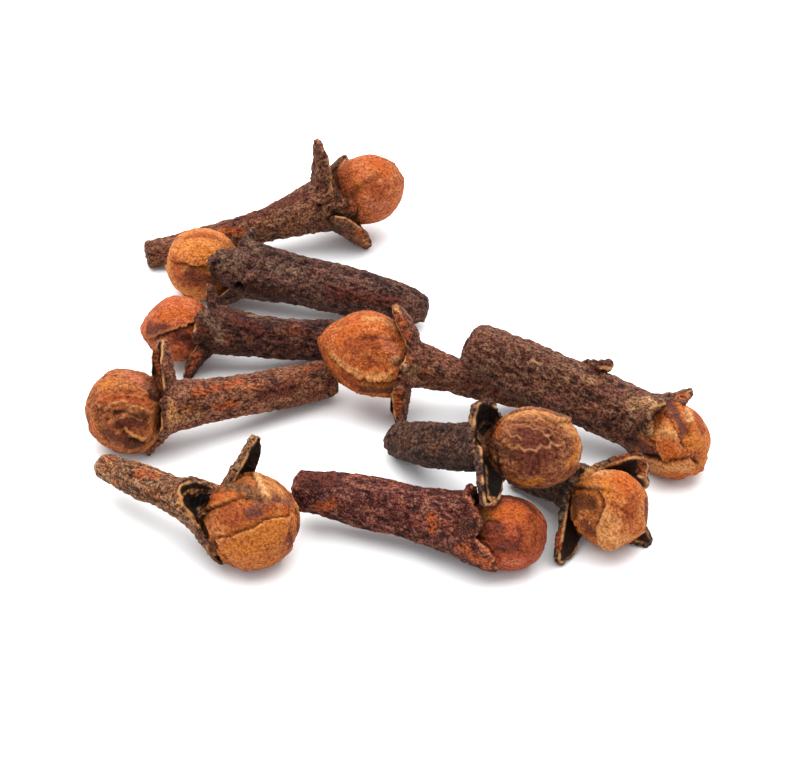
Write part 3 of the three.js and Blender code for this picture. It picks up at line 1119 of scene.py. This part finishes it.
def draw_marks(marks, p, normals, tree, tints, stain):
    """The lift that the marks give each vertex; tints and stain are changed as it goes."""
    lift = np.zeros(len(p))
    waver = WAVER * layered(p * WAVER_LUMPS, 91, 3)
    stray = np.stack([layered(p * WARP_LUMPS, seed, 2) for seed in (92, 93, 94)], axis=1)
    wander = p + WARP * stray
    for kind, half, points in marks:
        path, facing = on_skin(points, tree)
        if len(path) == 0:
            print("no skin under", kind, points)
            continue
        width = half * VIEW_UNIT_MM
        reach = REACH * width
        near = np.flatnonzero(np.all((p > path.min(0) - reach) & (p < path.max(0) + reach), axis=1))
        d, side, same = near_path(wander[near], normals[near], path, facing)
        ragged = width * waver[near]
        if kind in STAINS:
            share = same * (1 - smooth(*STAIN_FADE, (d + RAGGED * ragged) / width))
            colour = np.array(hex_colour(STAINS[kind]))
            stain[near] += share[:, None] * (colour - stain[near])
            tints["inner"][near] *= 1 - STAIN_COVERS * share
            continue
        does = KINDS[kind]
        if "step" in does:
            s = side * d + RAGGED * ragged
            high = np.where(s > 0, bell(s, STEP_BACK * width), 0.0)
            low = np.where(s <= 0, bell(s, width), 0.0)
            pale = np.where(s > 0, bell(s, STEP_PALE * width), 0)
            lift[near] += same * does["step"] * (high - STEP_DIP * low)
            # painted shadow on the low side, under the raised edge
            tints["shade"][near] += same * does["shade"] * low
            tints["pale"][near] += same * does.get("pale", 0) * pale
            continue
        soft = same * bell(np.maximum(d + ragged, 0), width)
        hole = same * (1 - smooth(*HOLE_WALL, (d + ragged) / width))
        lift[near] += does.get("lift", 0) * soft + does.get("hole", 0) * hole
        # shade here is painted shade in the crack or furrow
        for tint in ("pale", "shade"):
            tints[tint][near] += does.get(tint, 0) * soft
        # painted shade: a hole is painted near black in its hollow
        tints["hollow"][near] += hole * ("hole" in does)
    return lift


print("a mark reaches", REACH, "times half its width")

# %% [markdown]
# ## From numbers to a clove
# The marks need the skin where it lies in the heap, so a clove is grown in its own frame, given
# its dried relief there, and then turned into place before its marks are drawn. Where the marks
# tell how the petals lie, the regular winding fades out, or the two would cross.

# %% The dried skin of one clove
SEED_STEP = 31
# the height that counts as one crest, the most of it that is kept, and what is added to it
CREST_MM = 0.055
CREST_MOST = 1.5
CREST_FURROW = 0.2
CREST_FOLD = 0.5
# the regular winding fades out on skin that faces the camera by this much
FRONT = (0.05, 0.45)
PETAL_STEP = 0.16
VALLEY_DEPTH = 0.12
# painted shade in the valley under each petal's edge
VALLEY_SHADE = 0.7
EDGE_CRUST = 0.6
# painted shade: the bud is darker toward the neck, where it meets the calyx, from this part of its length
# on
NECKWARD = (0.35, 1.0)
NECK_RAGGED = 0.15
NECK_SHADE = 0.5


def to_heap(clove):
    """How a clove is turned, and where its seat lies."""
    head = Matrix.Rotation(math.radians(clove["head"]), 3, "Z")
    pitch = Matrix.Rotation(math.radians(-clove["pitch"]), 3, "Y")
    return np.array(head @ pitch), np.array(clove["seat"]) + np.array(HEAP_MIDDLE)


def dried_relief(p, clove, tints, facing, number, folds):
    """The lift of the dried skin, and the grain that its fine pattern lies in."""
    flat = straighten(p, clove["stem"])
    in_bud = p @ np.array(bud_turn(clove["bud"])) - np.array([clove["bud"][0], 0, 0])
    furrow, worm = stem_relief(flat, number * SEED_STEP)
    fold, crease = bud_relief(in_bud, number * SEED_STEP, folds)
    rise, edge, valley = petal_edges(in_bud, TURN_STEP * number)
    hidden = 1 - smooth(*FRONT, facing)
    bud = tints["bud"]
    on_stem = (furrow + worm) * (1 - tints["inner"])
    on_bud = fold + crease + hidden * (PETAL_STEP * rise - VALLEY_DEPTH * valley)
    # in the material this crest lightens the crests and darkens the furrows: painted highlight and painted
    # shade on the relief
    crest = (1 - bud) * (worm + CREST_FURROW * furrow) + bud * (crease + CREST_FOLD * fold)
    tints["crest"] = np.clip(crest / CREST_MM, -CREST_MOST, CREST_MOST)
    tints["pale"] = EDGE_CRUST * bud * edge * hidden
    # painted shade: the valley under each petal's edge, and the bud toward the neck where it meets the
    # calyx
    neckward = smooth(*NECKWARD, -2 * in_bud[:, 0] / clove["bud"][1] + NECK_RAGGED * crest)
    tints["shade"] = bud * np.maximum(VALLEY_SHADE * valley * hidden, NECK_SHADE * neckward)
    grain = np.where(bud[:, None] > 0.5, in_bud, flat)
    return (1 - bud) * on_stem + bud * on_bud, grain


print("clove_06 is turned by:", to_heap(CLOVES["clove_06"])[0].round(2).tolist())

# %% Grow and dress one clove
# shade and hollow carry painted shade: darkened cracks, valleys and neck, and near-black pits
TINTS = ("bud", "inner", "rim", "crest", "pale", "shade", "hollow")
SKIN_ROUNDS = 3
# a stain fainter than this has no colour of its own
FAINTEST = 1e-6


def normals_of(skin):
    out = np.empty(len(skin.vertices) * 3)
    skin.vertices.foreach_get("normal", out)
    return out.reshape(-1, 3)


def keep_on_skin(skin, tints, stain, grain):
    """Stores what the material reads at each vertex."""
    for tint in TINTS:
        low = -CREST_MOST if tint == "crest" else 0.0
        values = np.clip(tints[tint], low, CREST_MOST)
        skin.attributes.new(tint, "FLOAT", "POINT").data.foreach_set("value", values)
    stain[:, :3] /= np.maximum(stain[:, 3:], FAINTEST)
    skin.attributes.new("stain", "FLOAT_COLOR", "POINT").data.foreach_set("color", stain.ravel())
    skin.attributes.new("grain", "FLOAT_VECTOR", "POINT").data.foreach_set("vector", grain.ravel())
    skin.shade_smooth()
    skin.update()


def make_clove(name, clove, number):
    skin, samples = grown(clove, TURN_STEP * number)
    edges = edge_rows(skin)
    own = relax(places(skin), edges, SKIN_ROUNDS)
    tints = part_masks(own, edges, samples)
    turn, seat = to_heap(clove)
    p = own @ turn.T + seat
    skin.vertices.foreach_set("co", p.ravel())
    skin.update()
    normals = unit(relax(normals_of(skin), edges, 1))
    lift, grain = dried_relief(own, clove, tints, normals @ -np.array(look), number, FOLDS[name])
    tints["hollow"] = np.zeros(len(p))
    stain = np.zeros((len(p), 4))
    tree = BVHTree.FromPolygons([Vector(v) for v in p], [tuple(f.vertices) for f in skin.polygons])
    lift += draw_marks(MARKS[name], p, normals, tree, tints, stain)
    p = p + normals * lift[:, None]
    p[:, 2] = np.maximum(p[:, 2], 0.0)
    skin.vertices.foreach_set("co", (p * MM).ravel())
    keep_on_skin(skin, tints, stain, grain)
    piece = bpy.data.objects.new("skin_" + name, skin)
    bpy.context.collection.objects.link(piece)
    return piece


print("kept at each vertex:", TINTS)

# %% [markdown]
# ## The skin of a dried clove
# In the sun the oils brown the skin: stems go a dull purple-brown with rubbed tan granules, petals
# go orange to red-brown with pale crusty ridges. The skin is matt, with only a faint waxy sheen.
# Colours differ from clove to clove, so each has its own palette on the same nodes.
# Over these colours the coats paint shade into grooves, cracks and hollows, and some highlight onto
# crests.

# %% Colour and node helpers
def node(tree, kind, inputs=(), **settings):
    """Adds a node, sets its settings, and sets or links its inputs."""
    made = tree.nodes.new(kind)
    for key, value in settings.items():
        setattr(made, key, value)
    for key, value in dict(inputs).items():
        if isinstance(value, bpy.types.NodeSocket):
            tree.links.new(value, made.inputs[key])
        else:
            made.inputs[key].default_value = value
    return made


print("husk in linear light:", [round(c, 3) for c in hex_colour(STAINS["husk"])])

# %% Palettes
# the groove colours and the dark brown on the shade tint are painted shade; hollow is painted shade, near
# black; the stem's speck colour is partly the granules' own colour and partly painted highlight
PALETTE = dict(
    stem_mid="#5e3628", stem_dark="#2a1613", stem_warm="#8a4628", fleck_and_highlight="#ae7a58",
    bud_mid="#a85a28", bud_deep="#7c361c", bud_light="#c8824a", crust="#cc9058",
    hollow="#050201", painted_shade="#281209", groove_shade="#54342a", bud_groove_shade="#c0a48c",
)
PALETTES = {name: dict(PALETTE) for name in CLOVES}
OWN_COLOURS = dict(
    clove_01=dict(stem_mid="#7e5238", stem_dark="#48302a", stem_warm="#a85e30", fleck_and_highlight="#c89c70",
                  bud_mid="#a45a28"),
    clove_02=dict(stem_mid="#5c2a22", stem_dark="#2a1316", stem_warm="#94442c", fleck_and_highlight="#b47860",
                  bud_mid="#98442a", bud_deep="#622418", bud_light="#b4643a", crust="#bc7448"),
    clove_03=dict(stem_mid="#5c4234", stem_dark="#2a1c16", fleck_and_highlight="#96745a", bud_mid="#aa5c28",
                  hollow="#1c0c06"),
    clove_04=dict(stem_mid="#4c3027", stem_dark="#281916", stem_warm="#6e442e", fleck_and_highlight="#8c6850",
                  bud_mid="#703822", bud_deep="#4c251a", bud_light="#a87048", crust="#c88e5e"),
    clove_05=dict(stem_mid="#704432", stem_dark="#38221c", stem_warm="#8c4c36", fleck_and_highlight="#9a745a",
                  bud_mid="#b4622c"),
    clove_06=dict(stem_mid="#7a4836", stem_dark="#341d18", bud_mid="#a65226", bud_deep="#843818",
                  bud_light="#d08448"),
    clove_07=dict(stem_mid="#84503a", stem_dark="#38211a", stem_warm="#b0622f", bud_mid="#8a4826",
                  bud_deep="#5c2e1c"),
    clove_08=dict(stem_mid="#4c2a22", stem_dark="#2e1c17", fleck_and_highlight="#845840", bud_mid="#ac5630",
                  bud_deep="#743422", bud_light="#cc7a52"),
    clove_09=dict(stem_mid="#5a3a30", stem_dark="#2a1a18", stem_warm="#744638", fleck_and_highlight="#8a624e",
                  bud_mid="#be7038", bud_deep="#8a4a28", bud_light="#d8944c"),
    clove_10=dict(stem_mid="#7a4a34", stem_dark="#452a20", stem_warm="#925838", fleck_and_highlight="#a07454",
                  bud_mid="#aa5430", bud_deep="#884024"),
)
for name, own in OWN_COLOURS.items():
    PALETTES[name].update(own)
print("palettes:", len(PALETTES))

# %% Patterns and coats
# stretch along the grain, and the size of one spot in mm
PATTERNS = dict(
    streak=((0.35, 1.0, 1.0), 0.7),
    blotch=((0.6, 1.0, 1.0), 1.4),
    mottle=((0.8, 1.0, 1.0), 0.5),
    vein=((0.2, 1.0, 1.0), 0.22),
    granule=((0.6, 1.0, 1.0), 0.17),
)
SPOT_DETAIL = {"Detail": 3.0, "Roughness": 0.6}
# size of a pebble of the skin in mm, and how far its outline is bent
PEBBLE = 0.13
PEBBLE_BEND = (0.16, 0.16, 0.16)
# what it goes on, pattern or mask, from, to, how much, blend, colour
COATS = [
    ("stem", "streak", 0.44, 0.70, 0.8, "MIX", "stem_dark"),
    ("stem", "blotch", 0.54, 0.70, 0.6, "MIX", "stem_warm"),
    ("bud", "blotch", 0.46, 0.66, 0.7, "MIX", "bud_deep"),
    ("bud", "mottle", 0.50, 0.70, 0.5, "MIX", "bud_light"),
    ("bud", "vein", 0.52, 0.72, 0.3, "MIX", "bud_light"),
    ("bud", "vein", 0.48, 0.30, 0.3, "MIX", "bud_deep"),
    ("bud", "granule", 0.54, 0.72, 0.5, "MIX", "bud_light"),
    ("whole", "bud", 0.0, 1.0, 1.0, "MIX", "bud"),
    # the crests and the pebbles' tops take the speck colour: partly the skin's own rubbed granules, partly
    # painted highlight
    ("whole", "crest", 0.2, 1.2, 0.35, "MIX", "speck_and_highlight"),
    ("whole", "pebble", 0.36, 0.08, 0.5, "MIX", "speck_and_highlight"),
    ("whole", "stain", 0.0, 1.0, 0.85, "MIX", "stain"),
    # painted shade: where the crests fall away, at the pebbles' edges and in the low granules, the colour
    # is multiplied darker
    ("whole", "crest", 0.0, -1.0, 0.65, "MULTIPLY", "groove_shade"),
    ("whole", "pebble", 0.40, 0.80, 0.75, "MULTIPLY", "groove_shade"),
    ("whole", "granule", 0.55, 0.35, 0.6, "MULTIPLY", "groove_shade"),
    # the inner face of a sepal goes near black: partly its own darker colour, partly painted shade in the
    # hollow of the leaf
    ("whole", "inner", 0.0, 1.0, 0.92, "MIX", "hollow"),
    ("whole", "rim", 0.1, 0.8, 0.75, "MIX", "crust"),
    ("whole", "pale", 0.1, 1.0, 0.7, "MIX", "crust"),
    # painted shade: the low granules are darkened once more
    ("whole", "granule", 0.50, 0.30, 0.45, "MULTIPLY", "groove_shade"),
    # painted shade: cracks, furrows, petal valleys, the low side of torn edges and folds, and the bud
    # toward its neck go dark brown
    ("whole", "shade", 0.0, 1.0, 0.9, "MIX", "painted_shade"),
    # painted shade: pits and black marks go near black
    ("whole", "hollow", 0.0, 0.8, 1.0, "MIX", "hollow"),
]
print("coats:", len(COATS))


# %% The skin material
SPECULAR = 0.1
# Map Range sockets 1 to 4: the granules from hollow to crest, and how rough the skin is there
ROUGHNESS = {1: 0.3, 2: 0.7, 3: 0.6, 4: 0.85}
# share of the granules in the finest relief, the rest being pebbles, and its depth in metres
GRANULE_SHARE = 0.4
BUMP_DEPTH = 0.0001


def clove_skin(name, palette):
    """Sun-dried plant skin: brown and matt, which gives the eye earth colours with pale specks."""
    material = bpy.data.materials.new("sun_dried_skin_" + name)
    material.use_nodes = True
    tree = material.node_tree
    shader = tree.nodes["Principled BSDF"]
    colours = {key: hex_colour(text) for key, text in palette.items()}
    masks = {key: node(tree, "ShaderNodeAttribute", attribute_name=key) for key in TINTS}
    sources = {key: mask.outputs["Fac"] for key, mask in masks.items()}
    grain = node(tree, "ShaderNodeAttribute", attribute_name="grain").outputs["Vector"]
    stain = node(tree, "ShaderNodeAttribute", attribute_name="stain")
    sources["stain"] = stain.outputs["Alpha"]
    colours["stain"] = stain.outputs["Color"]
    for key, (stretch, size) in PATTERNS.items():
        laid = node(tree, "ShaderNodeMapping", {"Vector": grain, "Scale": stretch})
        spots = {"Vector": laid.outputs[0], "Scale": 1 / size, **SPOT_DETAIL}
        sources[key] = node(tree, "ShaderNodeTexNoise", spots).outputs[0]
    wander = node(tree, "ShaderNodeTexNoise", {"Vector": grain, "Scale": 1 / PEBBLE})
    bent = {0: wander.outputs["Color"], 1: PEBBLE_BEND}
    bent = node(tree, "ShaderNodeVectorMath", bent, operation="MULTIPLY")
    bent = node(tree, "ShaderNodeVectorMath", {0: bent.outputs[0], 1: grain}, operation="ADD")
    pebbles = {"Vector": bent.outputs[0], "Scale": 1 / PEBBLE}
    sources["pebble"] = node(tree, "ShaderNodeTexVoronoi", pebbles).outputs["Distance"]
    # the speck colour is partly rubbed granules and partly painted highlight on crests; the groove colour
    # is painted shade in the hollows of the relief
    by_part = dict(speck_and_highlight=("fleck_and_highlight", "bud_light"), groove_shade=("groove_shade", "bud_groove_shade"))
    for key, (on_stem, on_bud) in by_part.items():
        pair = {0: sources["bud"], 6: colours[on_stem], 7: colours[on_bud]}
        colours[key] = node(tree, "ShaderNodeMix", pair, data_type="RGBA").outputs[2]

    coat = {"stem": colours["stem_mid"], "bud": colours["bud_mid"]}
    for onto, source, low, high, amount, blend, colour in COATS:
        if onto == "whole" and onto not in coat:
            coat["whole"] = coat["stem"]
            colours["bud"] = coat["bud"]
        span = {0: sources[source], 1: low, 2: high, 4: amount}
        share = node(tree, "ShaderNodeMapRange", span, interpolation_type="SMOOTHSTEP")
        pair = {0: share.outputs[0], 6: coat[onto], 7: colours[colour]}
        coat[onto] = node(tree, "ShaderNodeMix", pair, data_type="RGBA", blend_type=blend).outputs[2]
    tree.links.new(coat["whole"], shader.inputs["Base Color"])

    rough = node(tree, "ShaderNodeMapRange", {0: sources["granule"], **ROUGHNESS})
    tree.links.new(rough.outputs[0], shader.inputs["Roughness"])
    shader.inputs["Specular IOR Level"].default_value = SPECULAR
    low = node(tree, "ShaderNodeMath", {0: 1.0, 1: sources["pebble"]}, operation="SUBTRACT")
    relief = {0: GRANULE_SHARE, 2: low.outputs[0], 3: sources["granule"]}
    height = node(tree, "ShaderNodeMix", relief, data_type="FLOAT").outputs[0]
    bump = node(tree, "ShaderNodeBump", {"Strength": 1.0, "Distance": BUMP_DEPTH, "Height": height})
    tree.links.new(bump.outputs[0], shader.inputs["Normal"])
    return material


print("the finest relief is", BUMP_DEPTH / MM, "mm deep")

# %% Make all ten
pieces = []
for number, (name, clove) in enumerate(CLOVES.items(), start=1):
    piece = make_clove(name, clove, number)
    piece.data.materials.append(clove_skin(name, PALETTES[name]))
    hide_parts(name)
    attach(piece, "root")
    pieces.append(piece)
    print(name, "faces:", len(piece.data.polygons))

# %% [markdown]
# ## Table and light
# The heap lies on a white sheet under a wide soft light a little behind it, so the shadows are
# pale, short and fall toward the viewer.

# %% Sheet
SHEET_HALF = 2.0
SHEET_DROP = 0.00002
# plain uncoated paper: white and dull, so it mirrors nothing
PAPER = {"Base Color": (0.9, 0.9, 0.9, 1), "Roughness": 0.9, "Specular IOR Level": 0.1}
sheet = bpy.data.meshes.new("sheet")
flat_bm = bmesh.new()
bmesh.ops.create_grid(flat_bm, x_segments=1, y_segments=1, size=SHEET_HALF)
flat_bm.to_mesh(sheet)
flat_bm.free()
floor = bpy.data.objects.new("floor", sheet)
floor.location.z = -SHEET_DROP
bpy.context.collection.objects.link(floor)
white = bpy.data.materials.new("white_paper")
white.use_nodes = True
for key, value in PAPER.items():
    white.node_tree.nodes["Principled BSDF"].inputs[key].default_value = value
sheet.materials.append(white)
print("the sheet is", 2 * SHEET_HALF, "m wide")

# %% Window and sky
SKY_COLOUR = (0.94, 0.97, 1.0, 1)
SKY_STRENGTH = 1.04


def lamp(name, at, size, power):
    """A square soft light aimed at the heap."""
    data = bpy.data.lights.new(name, "AREA")
    data.size = size
    data.energy = power
    light = bpy.data.objects.new(name, data)
    light.location = at
    light.rotation_euler = Vector(at).to_track_quat("Z", "Y").to_euler()
    bpy.context.collection.objects.link(light)


lamp("window", at=(-0.02, 0.12, 0.45), size=0.75, power=5.9)
sky = bpy.data.worlds.new("sky")
sky.use_nodes = True
sky.node_tree.nodes["Background"].inputs["Color"].default_value = SKY_COLOUR
sky.node_tree.nodes["Background"].inputs["Strength"].default_value = SKY_STRENGTH
bpy.context.scene.world = sky
bpy.context.scene.view_settings.view_transform = "Standard"
print("lamps:", [light.name for light in bpy.data.lights])

# %% Triangles in all
print("triangles:", sum(len(f.vertices) - 2 for o in pieces for f in o.data.polygons))
